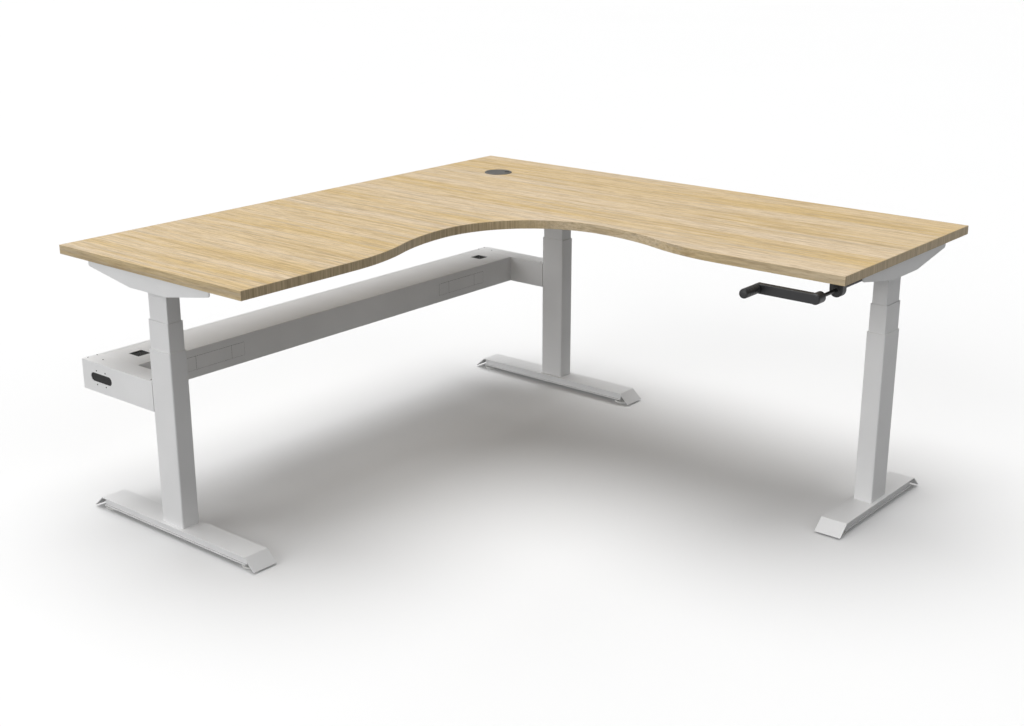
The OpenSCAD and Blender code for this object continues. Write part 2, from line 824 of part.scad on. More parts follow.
bearing_block();
crank_shaft();
crank_arm();
grip_pin();
grip();
cross_shaft();
wing_shaft();
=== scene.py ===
"""Looks of an L-shaped, height adjustable standing desk that is raised by a hand crank."""

import json
import logging
import math
from dataclasses import dataclass
from enum import Enum
from itertools import product
from typing import Protocol

import bmesh
import bpy
from bmesh.types import BMEdge, BMesh, BMFace, BMVert
from mathutils import Matrix, Vector


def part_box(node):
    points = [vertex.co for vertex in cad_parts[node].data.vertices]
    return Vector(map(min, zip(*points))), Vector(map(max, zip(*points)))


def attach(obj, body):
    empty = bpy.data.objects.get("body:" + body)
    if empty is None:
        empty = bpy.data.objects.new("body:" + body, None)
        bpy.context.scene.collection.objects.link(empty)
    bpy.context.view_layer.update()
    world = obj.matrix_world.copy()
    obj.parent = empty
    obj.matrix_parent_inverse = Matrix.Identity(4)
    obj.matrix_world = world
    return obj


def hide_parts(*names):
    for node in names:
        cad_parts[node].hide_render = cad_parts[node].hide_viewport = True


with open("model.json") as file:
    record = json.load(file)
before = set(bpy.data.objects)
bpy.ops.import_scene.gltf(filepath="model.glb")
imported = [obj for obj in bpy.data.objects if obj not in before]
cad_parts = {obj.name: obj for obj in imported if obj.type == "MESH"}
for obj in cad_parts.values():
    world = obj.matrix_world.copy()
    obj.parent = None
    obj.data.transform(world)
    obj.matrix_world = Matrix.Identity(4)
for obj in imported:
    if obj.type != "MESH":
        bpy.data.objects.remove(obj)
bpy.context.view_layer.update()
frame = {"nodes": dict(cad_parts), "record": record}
log = logging.getLogger("desk")

Colour = tuple[float, float, float]
Point = tuple[float, float, float]
Socket = bpy.types.NodeSocket

EVEN: Point = (1.0, 1.0, 1.0)
WELD = 1e-6


class Axis(Enum):
    """The row axis that a grain, a brushing or a turned piece runs along."""

    X = "X"
    Y = "Y"
    Z = "Z"


# ---------------------------------------------------------------- finishes


class Finish(Protocol):
    """Anything that can make its own material."""

    name: str

    def build(self) -> bpy.types.Material:
        """Makes the material."""


def shade(colour: Colour, by: float) -> Colour:
    """The same colour, darkened."""
    return tuple(c * by for c in colour)


class Graph:
    """The node tree of one material, with a Principled shader at its end."""

    def __init__(self, name: str) -> None:
        """Starts an empty tree.

        Args:
            name: The material's name.
        """
        self.material = bpy.data.materials.new(name)
        self.material.use_nodes = True
        self.tree = self.material.node_tree
        self.tree.nodes.clear()
        self.shader = self.tree.nodes.new("ShaderNodeBsdfPrincipled")
        end = self.tree.nodes.new("ShaderNodeOutputMaterial")
        self.join(self.shader.outputs["BSDF"], end.inputs["Surface"])
        self.where = self.tree.nodes.new("ShaderNodeTexCoord")

    def join(self, source: Socket, target: Socket) -> None:
        """Links two sockets."""
        self.tree.links.new(source, target)

    def into(self, socket: str, source: Socket) -> None:
        """Links a result to one of the shader's own sockets."""
        self.join(source, self.shader.inputs[socket])

    def spread(self, scale: Point, turn: float = 0.0) -> Socket:
        """Stretches the object's own coordinates.

        Args:
            scale: Pattern repeats for each metre along X, Y and Z.
            turn: Turn about Z, in degrees.

        Returns:
            The mapped vector.
        """
        node = self.tree.nodes.new("ShaderNodeMapping")
        node.inputs["Scale"].default_value = scale
        node.inputs["Rotation"].default_value = (0.0, 0.0, math.radians(turn))
        self.join(self.where.outputs["Object"], node.inputs["Vector"])
        return node.outputs["Vector"]

    def noise(self, vector: Socket, scale: float, detail: float = 3.0,
              rough: float = 0.5, twist: float = 0.0) -> Socket:
        """A noise pattern.

        Args:
            vector: Where to read it.
            scale: Its scale on that vector.
            detail: Octaves.
            rough: How much the fine octaves count.
            twist: Distortion.

        Returns:
            Its value, about 0 to 1.
        """
        node = self.tree.nodes.new("ShaderNodeTexNoise")
        node.inputs["Scale"].default_value = scale
        node.inputs["Detail"].default_value = detail
        node.inputs["Roughness"].default_value = rough
        node.inputs["Distortion"].default_value = twist
        self.join(vector, node.inputs["Vector"])
        return node.outputs["Fac"]

    def remap(self, value: Socket, low: float, high: float,
              to_low: float = 0.0, to_high: float = 1.0) -> Socket:
        """Maps low..high to to_low..to_high, clamped, and returns the result."""
        node = self.tree.nodes.new("ShaderNodeMapRange")
        ends = {"From Min": low, "From Max": high, "To Min": to_low, "To Max": to_high}
        for socket, number in ends.items():
            node.inputs[socket].default_value = number
        self.join(value, node.inputs["Value"])
        return node.outputs["Result"]

    def math(self, kind: str, a: Socket, b: Socket | float) -> Socket:
        """One step of arithmetic on a and b, named as Blender names it."""
        node = self.tree.nodes.new("ShaderNodeMath")
        node.operation = kind
        self.join(a, node.inputs[0])
        if isinstance(b, float):
            node.inputs[1].default_value = b
        else:
            self.join(b, node.inputs[1])
        return node.outputs["Value"]

    def ramp(self, value: Socket, stops: list[tuple[float, Colour]]) -> Socket:
        """Turns a value into a colour.

        Args:
            value: The value, 0 to 1.
            stops: Places and their colours, lowest first.

        Returns:
            The colour.
        """
        node = self.tree.nodes.new("ShaderNodeValToRGB")
        band = node.color_ramp
        band.elements[0].position = stops[0][0]
        band.elements[0].color = (*stops[0][1], 1.0)
        band.elements[1].position = stops[-1][0]
        band.elements[1].color = (*stops[-1][1], 1.0)
        for place, colour in stops[1:-1]:
            band.elements.new(place).color = (*colour, 1.0)
        self.join(value, node.inputs["Fac"])
        return node.outputs["Color"]

    def mix(self, factor: Socket | float, a: Socket | Colour,
            b: Socket | Colour, blend: str = "MIX") -> Socket:
        """Mixes two colours and returns the result."""
        node = self.tree.nodes.new("ShaderNodeMix")
        node.data_type = "RGBA"
        node.blend_type = blend
        if isinstance(factor, float):
            node.inputs[0].default_value = factor
        else:
            self.join(factor, node.inputs[0])
        for value, socket in ((a, node.inputs[6]), (b, node.inputs[7])):
            if isinstance(value, tuple):
                socket.default_value = (*value, 1.0)
            else:
                self.join(value, socket)
        return node.outputs[2]

    def bump(self, height: Socket, strength: float, distance: float) -> None:
        """Raises the surface by a height pattern."""
        node = self.tree.nodes.new("ShaderNodeBump")
        node.inputs["Strength"].default_value = strength
        node.inputs["Distance"].default_value = distance
        self.join(height, node.inputs["Height"])
        self.join(node.outputs["Normal"], self.shader.inputs["Normal"])


@dataclass(frozen=True)
class Oak:
    """Limed oak with its grain along X. Cuts across the grain show short upright streaks."""

    name: str
    tan: Colour
    pale: Colour
    grey: Colour
    dark: Colour
    end_light: Colour
    end_dark: Colour
    roughness: float = 0.48

    def along(self, g: Graph) -> Socket:
        """Draws the long grain.

        Args:
            g: The material's tree.

        Returns:
            Its colour.
        """
        broad = g.noise(g.spread((0.35, 7.0, 7.0)), 1.0, 3.0, 0.55, 0.4)
        bands = g.noise(g.spread((1.1, 34.0, 34.0)), 1.0, 4.0, 0.6, 0.3)
        streaks = g.noise(g.spread((2.2, 95.0, 95.0)), 1.0, 3.0, 0.6)
        lines = g.noise(g.spread((9.0, 150.0, 150.0)), 1.0, 4.0, 0.75)
        pores = g.noise(g.spread((26.0, 620.0, 620.0)), 1.0, 2.0, 0.6)
        tone = g.math("ADD", g.math("MULTIPLY", broad, 0.55), g.math("MULTIPLY", bands, 0.45))
        colour = g.mix(g.remap(tone, 0.42, 0.58), self.tan, self.pale)
        colour = g.mix(g.remap(streaks, 0.52, 0.66, 0.0, 0.65), colour, self.grey)
        colour = g.mix(g.remap(bands, 0.45, 0.32, 0.0, 0.34), colour, self.dark)
        colour = g.mix(g.remap(lines, 0.46, 0.66, 0.0, 0.62), colour, self.dark)
        colour = g.mix(g.remap(lines, 0.44, 0.26, 0.0, 0.65), colour, self.pale)
        colour = g.mix(g.remap(pores, 0.52, 0.68, 0.0, 0.50), colour, self.dark)
        rough = self.roughness
        g.into("Roughness", g.remap(lines, 0.3, 0.7, rough - 0.05, rough + 0.08))
        g.bump(g.math("SUBTRACT", lines, g.math("MULTIPLY", pores, 0.6)), 0.12, 0.0003)
        return colour

    def across(self, g: Graph) -> Socket:
        """Draws the grain that a cross cut shows and returns its colour."""
        upright = g.noise(g.spread((260.0, 260.0, 9.0)), 1.0, 3.0, 0.6)
        wide = g.noise(g.spread((60.0, 60.0, 5.0)), 1.0, 2.0, 0.5)
        value = g.math("ADD", g.math("MULTIPLY", upright, 0.7), g.math("MULTIPLY", wide, 0.3))
        return g.mix(g.remap(value, 0.38, 0.60), self.end_dark, self.end_light)

    def build(self) -> bpy.types.Material:
        """Makes the material."""
        g = Graph(self.name)
        sides = g.tree.nodes.new("ShaderNodeSeparateXYZ")
        g.join(g.where.outputs["Normal"], sides.inputs["Vector"])
        cut = g.remap(g.math("ABSOLUTE", sides.outputs["X"], 0.0), 0.35, 0.85)
        g.into("Base Color", g.mix(cut, self.along(g), self.across(g)))
        return g.material


@dataclass(frozen=True)
class PowderCoat:
    """Powder coat: an even colour with a fine orange-peel surface."""

    name: str
    colour: Colour
    roughness: float = 0.42
    peel: float = 0.06
    size: float = 1400.0

    def build(self) -> bpy.types.Material:
        """Makes the material."""
        g = Graph(self.name)
        broad = g.noise(g.spread(EVEN), 7.0, 2.0)
        fine = g.noise(g.spread(EVEN), self.size, 2.0, 0.6)
        colour = g.mix(g.remap(broad, 0.35, 0.65), shade(self.colour, 0.955), self.colour)
        specks = g.remap(fine, 0.52, 0.72, 0.0, 0.35)
        g.into("Base Color", g.mix(specks, colour, shade(self.colour, 0.88)))
        rough = self.roughness
        g.into("Roughness", g.remap(fine, 0.3, 0.7, rough - 0.04, rough + 0.06))
        g.bump(fine, self.peel, 0.0002)
        return g.material


@dataclass(frozen=True)
class Moulded:
    """Moulded plastic or rubber with a spark-eroded texture."""

    name: str
    colour: Colour
    roughness: float = 0.5
    grain: float = 0.12
    size: float = 2200.0

    def build(self) -> bpy.types.Material:
        """Makes the material."""
        g = Graph(self.name)
        spark = g.noise(g.spread(EVEN), self.size, 2.0, 0.7)
        cloud = g.noise(g.spread(EVEN), 22.0, 2.0)
        lift = tuple(min(1.0, c * 1.25 + 0.004) for c in self.colour)
        g.into("Base Color", g.mix(g.remap(cloud, 0.3, 0.7), self.colour, lift))
        rough = self.roughness
        g.into("Roughness", g.remap(spark, 0.3, 0.7, rough - 0.06, rough + 0.08))
        g.bump(spark, self.grain, 0.00015)
        return g.material


@dataclass(frozen=True)
class Metal:
    """Bare metal with drawing or turning lines along one axis."""

    name: str
    colour: Colour
    along: Axis = Axis.Z
    roughness: float = 0.32
    lines: float = 900.0

    def build(self) -> bpy.types.Material:
        """Makes the material."""
        g = Graph(self.name)
        scale = tuple(8.0 if axis is self.along else self.lines for axis in Axis)
        drawn = g.noise(g.spread(scale), 1.0, 3.0, 0.6)
        stain = g.noise(g.spread(EVEN), 30.0, 3.0)
        dull = shade(self.colour, 0.82)
        g.into("Base Color", g.mix(g.remap(stain, 0.35, 0.65), dull, self.colour))
        g.shader.inputs["Metallic"].default_value = 1.0
        rough = self.roughness
        g.into("Roughness", g.remap(drawn, 0.3, 0.7, rough - 0.07, rough + 0.12))
        g.bump(drawn, 0.05, 0.0001)
        return g.material


@dataclass(frozen=True)
class Studio:
    """The pale floor."""

    name: str
    colour: Colour

    def build(self) -> bpy.types.Material:
        """Makes the material."""
        g = Graph(self.name)
        soft = g.noise(g.spread(EVEN), 0.4, 1.0)
        g.into("Base Color", g.mix(g.remap(soft, 0.3, 0.7), shade(self.colour, 0.995), self.colour))
        g.shader.inputs["Roughness"].default_value = 0.9
        g.shader.inputs["Specular IOR Level"].default_value = 0.1
        return g.material


class Look(Enum):
    """Every finish on the desk, with the record's material slot that it belongs to."""

    BOARD = "oak_top", Oak("oak board", tan=(0.66, 0.475, 0.21), pale=(0.73, 0.59, 0.415),
                           grey=(0.48, 0.405, 0.305), dark=(0.31, 0.21, 0.10),
                           end_light=(0.58, 0.45, 0.27), end_dark=(0.36, 0.27, 0.15))
    # The band is the board's own oak with every colour painted about 15% darker: painted shade on
    # the board's edges.
    EDGE = "oak_edge", Oak("oak edge band with painted shade", tan=(0.56, 0.42, 0.20), pale=(0.62, 0.50, 0.33),
                           grey=(0.42, 0.34, 0.24), dark=(0.29, 0.20, 0.10),
                           end_light=(0.56, 0.44, 0.265), end_dark=(0.34, 0.255, 0.145))
    WHITE = "white_steel", PowderCoat("white powder coat", (0.79, 0.79, 0.79))
    BEAM = "white_steel", PowderCoat("white powder coat on sheet", (0.82, 0.82, 0.82),
                                     roughness=0.40, peel=0.05, size=1700.0)
    BLACK = "black_steel", PowderCoat("black powder coat", (0.012, 0.012, 0.013),
                                      roughness=0.36, peel=0.10, size=1600.0)
    HANDLE = "black_plastic", Moulded("black handle plastic", (0.011, 0.011, 0.012),
                                      roughness=0.42, grain=0.16, size=1500.0)
    RUBBER = "black_plastic", Moulded("black rubber", (0.010, 0.010, 0.010),
                                      roughness=0.75, grain=0.15, size=1200.0)
    GROMMET = "grey_plastic", Moulded("dark grey plastic", (0.096, 0.093, 0.087),
                                      roughness=0.38, grain=0.12, size=1800.0)
    NYLON = "white_plastic", Moulded("white nylon", (0.66, 0.66, 0.64),
                                     roughness=0.48, grain=0.08, size=1500.0)
    CAST = "cast_housing", Metal("die-cast alloy", (0.50, 0.50, 0.51), roughness=0.50, lines=60.0)
    BOLT = "steel", Metal("zinc-plated steel", (0.60, 0.60, 0.61), roughness=0.30, lines=700.0)
    SHAFT_X = "steel", Metal("drawn steel along x", (0.55, 0.55, 0.56), Axis.X, roughness=0.26)
    SHAFT_Y = "steel", Metal("drawn steel along y", (0.55, 0.55, 0.56), Axis.Y, roughness=0.26)
    SCREW = "steel", Metal("ground steel", (0.52, 0.52, 0.53), roughness=0.28, lines=500.0)

    def __init__(self, slot: str, finish: Finish) -> None:
        """Keeps the slot and the finish."""
        self.slot = slot
        self.finish = finish

    @classmethod
    def of_slot(cls, slot: str) -> "Look":
        """The first look that belongs to a slot."""
        return next(look for look in cls if look.slot == slot)

    def material(self) -> bpy.types.Material:
        """The finish's material, made once."""
        return bpy.data.materials.get(self.finish.name) or self.finish.build()


def dress_frame() -> None:
    """Gives every part of the frame the finish of its own slot."""
    special = {"cross_shaft": Look.SHAFT_X, "wing_shaft": Look.SHAFT_Y, "grip_pin": Look.SHAFT_Y}
    for part in frame["record"]["subparts"]:
        node = part["node"]
        look = special.get(node, Look.of_slot(part["material_slot"]))
        if node.startswith(("lower_screw", "upper_screw")):
            look = Look.SCREW
        obj = frame["nodes"][node]
        if not obj.material_slots:
            obj.data.materials.append(look.material())
        for place in obj.material_slots:
            place.material = look.material()
    log.info("dressed %d frame parts", len(frame["nodes"]))


# ---------------------------------------------------------------- shaping


def shift(x: float, y: float, z: float = 0.0) -> Matrix:
    """A plain move."""
    return Matrix.Translation((x, y, z))


class Outline:
    """A closed loop drawn flat in X and Y with straight runs and arcs."""

    def __init__(self, bm: BMesh, x: float, y: float) -> None:
        """Starts at a point.

        Args:
            bm: The mesh to draw in.
            x: Start along X.
            y: Start along Y.
        """
        self.bm = bm
        self.first: BMVert = bm.verts.new((x, y, 0.0))
        self.last: BMVert = self.first
        self.edges: list[BMEdge] = []

    def line(self, x: float, y: float) -> "Outline":
        """Draws a straight run to a point, and returns the outline."""
        if (self.last.co - Vector((x, y, 0.0))).length > WELD:
            end = self.bm.verts.new((x, y, 0.0))
            self.edges.append(self.bm.edges.new((self.last, end)))
            self.last = end
        return self

    def arc(self, x: float, y: float, degrees: float, steps: int) -> "Outline":
        """Draws an arc from the last point.

        Args:
            x: The centre along X.
            y: The centre along Y.
            degrees: How far it turns, positive anticlockwise.
            steps: Its number of edges.

        Returns:
            The outline.
        """
        before = set(self.bm.edges)
        made = bmesh.ops.spin(self.bm, geom=[self.last], cent=(x, y, 0.0), axis=(0.0, 0.0, 1.0),
                              angle=math.radians(degrees), steps=steps)
        self.edges += [e for e in self.bm.edges if e not in before]
        self.last = next(g for g in made["geom_last"] if isinstance(g, BMVert))
        return self

    def close(self) -> list[BMEdge]:
        """Joins the end to the start and returns the loop's edges."""
        if (self.last.co - self.first.co).length > WELD:
            self.edges.append(self.bm.edges.new((self.last, self.first)))
            return self.edges
        bmesh.ops.weld_verts(self.bm, targetmap={self.last: self.first})
        loop: list[BMEdge] = []
        vert = self.first
        while edge := next((e for e in vert.link_edges if e not in loop), None):
            loop.append(edge)
            vert = edge.other_vert(vert)
        return loop


def rounded(bm: BMesh, length: float, width: float, radius: float, steps: int = 6,
            at: tuple[float, float] = (0.0, 0.0)) -> list[BMEdge]:
    """Draws a rectangle with rounded corners.

    Args:
        bm: The mesh to draw in.
        length: Its size along X.
        width: Its size along Y.
        radius: Its corner radius.
        steps: Edges in each corner.
        at: Its middle.

    Returns:
        Its edges.
    """
    x0, x1 = at[0] - length / 2, at[0] + length / 2
    y0, y1 = at[1] - width / 2, at[1] + width / 2
    path = Outline(bm, x1, y0 + radius)
    path.line(x1, y1 - radius).arc(x1 - radius, y1 - radius, 90, steps)
    path.line(x0 + radius, y1).arc(x0 + radius, y1 - radius, 90, steps)
    path.line(x0, y0 + radius).arc(x0 + radius, y0 + radius, 90, steps)
    return path.line(x1 - radius, y0).arc(x1 - radius, y0 + radius, 90, steps).close()


def ring_of(bm: BMesh, radius: float, at: tuple[float, float] = (0.0, 0.0),
            steps: int = 32) -> list[BMEdge]:
    """Draws a circle and returns its edges."""
    made = bmesh.ops.create_circle(bm, segments=steps, radius=radius, matrix=shift(*at))
    return list({e for v in made["verts"] for e in v.link_edges})


def raise_plate(bm: BMesh, loops: list[BMEdge], height: float) -> None:
    """Fills flat loops, the inner ones as holes, and pulls the face up into a solid."""
    filled = bmesh.ops.triangle_fill(bm, use_beauty=True, use_dissolve=True, edges=loops,
                                     normal=(0.0, 0.0, 1.0))
    faces = [g for g in filled["geom"] if isinstance(g, BMFace)]
    lifted = bmesh.ops.extrude_face_region(bm, geom=faces)
    above = [g for g in lifted["geom"] if isinstance(g, BMVert)]
    bmesh.ops.translate(bm, verts=above, vec=(0.0, 0.0, height))
    bmesh.ops.recalc_face_normals(bm, faces=bm.faces[:])


def ease(bm: BMesh, width: float, segments: int = 2, degrees: float = 40.0) -> None:
    """Rounds every edge that turns by more than the given degrees."""
    limit = math.radians(degrees)
    sharp = [e for e in bm.edges if len(e.link_faces) == 2 and e.calc_face_angle(0.0) > limit]
    bmesh.ops.bevel(bm, geom=sharp, offset=width, offset_type="OFFSET", segments=segments,
                    profile=0.5, affect="EDGES", clamp_overlap=True, material=-1)


def turned(profile: list[tuple[float, float]], steps: int = 48, looped: bool = False) -> BMesh:
    """Turns a profile about Z, as a lathe does.

    Args:
        profile: Radius and height of each of its corners, in order.
        steps: Faces round the piece.
        looped: True if the profile closes on itself, as a ring's does.

    Returns:
        The mesh.
    """
    bm = bmesh.new()
    verts = [bm.verts.new((r, 0.0, z)) for r, z in profile]
    edges = [bm.edges.new(pair) for pair in zip(verts, verts[1:])]
    if looped:
        edges.append(bm.edges.new((verts[-1], verts[0])))
    bmesh.ops.spin(bm, geom=verts + edges, cent=(0.0, 0.0, 0.0), axis=(0.0, 0.0, 1.0),
                   angle=math.tau, steps=steps, use_merge=True)
    bmesh.ops.remove_doubles(bm, verts=bm.verts[:], dist=WELD)
    bmesh.ops.recalc_face_normals(bm, faces=bm.faces[:])
    return bm


def join_into(target: BMesh, extra: BMesh, place: Matrix) -> None:
    """Moves extra to its place and adds it to target."""
    bmesh.ops.transform(extra, matrix=place, verts=extra.verts[:])
    if place.determinant() < 0.0:
        bmesh.ops.reverse_faces(extra, faces=extra.faces[:])
    mesh = bpy.data.meshes.new("spare")
    extra.to_mesh(mesh)
    extra.free()
    target.from_mesh(mesh)
    bpy.data.meshes.remove(mesh)


def screw_head(r: float, h: float) -> BMesh:
    """A domed screw head of radius r and height h with a round socket, on the plane z = 0."""
    return turned([(0.0, h * 0.3), (r * 0.42, h * 0.3), (r * 0.42, h * 0.95), (r * 0.7, h),
                   (r, h * 0.55), (r, 0.0), (0.0, 0.0)], 20)


def hexagon(radius: float, depth: float, easing: float) -> BMesh:
    """A six-sided nut or bolt head with its corners broken."""
    bm = bmesh.new()
    bmesh.ops.create_cone(bm, cap_ends=True, cap_tris=False, segments=6, radius1=radius,
                          radius2=radius, depth=depth)
    ease(bm, easing, 2)
    return bm


def crack(bm: BMesh, kept: Point, thickness: float) -> None:
    """Parts the flat faces of a rubber sheet, shrinks each one and gives them a thickness.

    Args:
        bm: The sheet.
        kept: How much of each face is kept along X, Y and Z.
        thickness: The sheet's thickness.
    """
    bmesh.ops.split_edges(bm, edges=bm.edges[:])
    for face in bm.faces[:]:
        about = Matrix.Translation(face.calc_center_median()).inverted()
        bmesh.ops.scale(bm, vec=kept, space=about, verts=face.verts[:])
    bmesh.ops.solidify(bm, geom=bm.faces[:], thickness=thickness)
    bmesh.ops.recalc_face_normals(bm, faces=bm.faces[:])


def facing(axis: Axis, sign: int = 1) -> Matrix:
    """Turns +Z to the given axis."""
    if axis is Axis.X:
        return Matrix.Rotation(math.radians(90 * sign), 4, "Y")
    if axis is Axis.Y:
        return Matrix.Rotation(math.radians(-90 * sign), 4, "X")
    return Matrix.Identity(4) if sign > 0 else Matrix.Rotation(math.pi, 4, "X")


def finish(name: str, bm: BMesh, look: Look, body: str, stands_for: tuple[str, ...] = (),
           place: Matrix | None = None, smooth: float = 32.0) -> bpy.types.Object:
    """Makes a finished piece of a mesh.

    Args:
        name: The piece's name.
        bm: Its mesh, which is used up.
        look: Its finish.
        body: The frame's body that it rides on.
        stands_for: The frame's parts that it replaces.
        place: Where the mesh goes.
        smooth: Edges that turn by less than this many degrees are shaded smooth.

    Returns:
        The object.
    """
    if place is not None:
        bmesh.ops.transform(bm, matrix=place, verts=bm.verts[:])
        if place.determinant() < 0.0:
            bmesh.ops.reverse_faces(bm, faces=bm.faces[:])
    mesh = bpy.data.meshes.new(name)
    bm.to_mesh(mesh)
    bm.free()
    mesh.shade_smooth()
    mesh.set_sharp_from_angle(angle=math.radians(smooth))
    mesh.materials.append(look.material())
    obj = bpy.data.objects.new(name, mesh)
    bpy.context.scene.collection.objects.link(obj)
    flats = obj.modifiers.new("flat faces stay flat", "WEIGHTED_NORMAL")
    flats.keep_sharp = True
    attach(obj, body)
    if stands_for:
        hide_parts(*stands_for)
    log.info("%-28s %6d faces on %s", name, len(mesh.polygons), body)
    return obj


def eased_copy(node: str, width: float, look: Look, body: str,
               segments: int = 2) -> bpy.types.Object:
    """Rounds the edges of a copy of a frame part, as folding, casting or tumbling leaves them.

    Args:
        node: The frame part.
        width: How far the rounding reaches.
        look: The finish.
        body: The body it rides on.
        segments: Steps in the rounding.

    Returns:
        The object that stands for the part.
    """
    bm = bmesh.new()
    bm.from_mesh(frame["nodes"][node].data)
    bmesh.ops.remove_doubles(bm, verts=bm.verts[:], dist=1e-5)
    bmesh.ops.dissolve_limit(bm, angle_limit=math.radians(0.6), verts=bm.verts[:],
                             edges=bm.edges[:], delimit={"NORMAL"})
    ease(bm, width, segments, 50.0)
    return finish(f"{node}_eased", bm, look, body, (node,))


# ---------------------------------------------------------------- the desk


@dataclass(frozen=True)
class Leg:
    """Where one leg stands: its axis, its turn about Z in degrees, and its foot's flat length."""

    name: str
    x: float
    y: float
    turn: float
    foot: float

    def place(self, z: float = 0.0) -> Matrix:
        """The leg's own frame, raised to z."""
        return shift(self.x, self.y, z) @ Matrix.Rotation(math.radians(self.turn), 4, "Z")


def read_legs() -> list[Leg]:
    """Reads the three legs from the frame."""
    legs = []
    for name, turn in (("left", 0.0), ("corner", 0.0), ("right", -90.0)):
        low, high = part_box(f"outer_tube_{name}")
        foot_low, foot_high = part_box(f"foot_plate_{name}")
        length = max(foot_high[0] - foot_low[0], foot_high[1] - foot_low[1])
        flat = length - 2 * Foot.slope
        legs.append(Leg(name, (low[0] + high[0]) / 2, (low[1] + high[1]) / 2, turn, flat))
    return legs


@dataclass
class Worktop:
    """The L-shaped board, the band round its edge and the grommet near its outer corner."""

    length: float = 1.8
    depth: float = 0.75
    neck: float = 0.675
    bay: float = 0.315
    blend: float = 0.43
    band: float = 0.002
    grommet: tuple[float, float] = (0.233, 0.233)
    hole: float = 0.0462

    def outline(self, bm: BMesh, inset: float) -> list[BMEdge]:
        """Draws the board's outline from the outer corner at the origin, wings along X and Y.

        Args:
            bm: The mesh to draw in.
            inset: How far inside the board's edge to draw.

        Returns:
            The loop's edges.
        """
        far, near, full = self.length - inset, inset, self.depth - inset
        centre = self.neck + self.bay
        drop = self.depth - self.neck
        radius = (self.blend ** 2 + drop ** 2) / (4 * drop)
        turn = math.degrees(math.asin(self.blend / 2 / radius))
        path = Outline(bm, far, near).line(near, near).line(near, far).line(full, far)
        path.line(full, centre + self.blend)
        path.arc(self.depth - radius, centre + self.blend, -turn, 12)
        path.arc(self.neck + radius, centre, turn, 12)
        path.arc(centre, centre, 90, 40)
        path.arc(centre, self.neck + radius, turn, 12)
        path.arc(centre + self.blend, self.depth - radius, -turn, 12)
        return path.line(far, full).close()

    def build(self) -> None:
        """Builds the board and its band."""
        low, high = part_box("worktop")
        mirror = Matrix.Scale(-1, 4, (0, 1, 0))
        corner = shift(-self.length / 2, self.length / 2, low[2]) @ mirror
        board = bmesh.new()
        loops = self.outline(board, self.band) + ring_of(board, self.hole, self.grommet, 64)
        raise_plate(board, loops, high[2] - low[2])
        ease(board, 0.0003, 1, 60.0)
        finish("board", board, Look.BOARD, "top", ("worktop",), corner)
        rim = bmesh.new()
        raise_plate(rim, self.outline(rim, 0.0) + self.outline(rim, self.band), high[2] - low[2])
        ease(rim, 0.0007, 3, 60.0)
        # The band wears the darker copy of the oak, which is painted shade on the board's edges.
        finish("board_edge_band", rim, Look.EDGE, "top", ("edge_band",), corner)

    def grommet_parts(self) -> None:
        """Builds the grommet's ring and its cap."""
        low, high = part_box("grommet_ring")
        x, y, top = (low[0] + high[0]) / 2, (low[1] + high[1]) / 2, high[2]
        ring = turned([(0.0350, -0.020), (0.0398, -0.020), (0.0398, -0.0025), (0.0460, -0.0025),
                       (0.0460, -0.0012), (0.0455, -0.0005), (0.0446, -0.0001), (0.0425, 0.0),
                       (0.0396, 0.0), (0.0390, -0.0005), (0.0390, -0.0030), (0.0350, -0.0030)],
                      96, looped=True)
        finish("grommet_rim", ring, Look.GROMMET, "top", ("grommet_ring",), shift(x, y, top))
        eased_copy("grommet_cap", 0.0006, Look.GROMMET, "grommet_cap", 3)


@dataclass
class Column:
    """One telescopic column: three tubes of folded and welded steel."""

    leg: Leg
    wall: float = 0.0018

    def tube(self, node: str, body: str, radius: float) -> None:
        """Builds one tube.

        Args:
            node: The frame part it stands for.
            body: The body it rides on.
            radius: Its corner radius.
        """
        low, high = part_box(node)
        long, wide = sorted((high[0] - low[0], high[1] - low[1]), reverse=True)
        bm = bmesh.new()
        both = 2 * self.wall
        loops = rounded(bm, long, wide, radius, 8)
        loops += rounded(bm, long - both, wide - both, radius - self.wall, 8)
        raise_plate(bm, loops, high[2] - low[2])
        ease(bm, 0.0004, 2, 60.0)
        finish(f"{node}_shell", bm, Look.WHITE, body, (node,), self.leg.place(low[2]))

    def build(self) -> None:
        """Builds the three tubes."""
        name = self.leg.name
        self.tube(f"outer_tube_{name}", "base", 0.0045)
        self.tube(f"middle_tube_{name}", f"middle_{name}", 0.003)
        self.tube(f"inner_tube_{name}", "top", 0.0025)


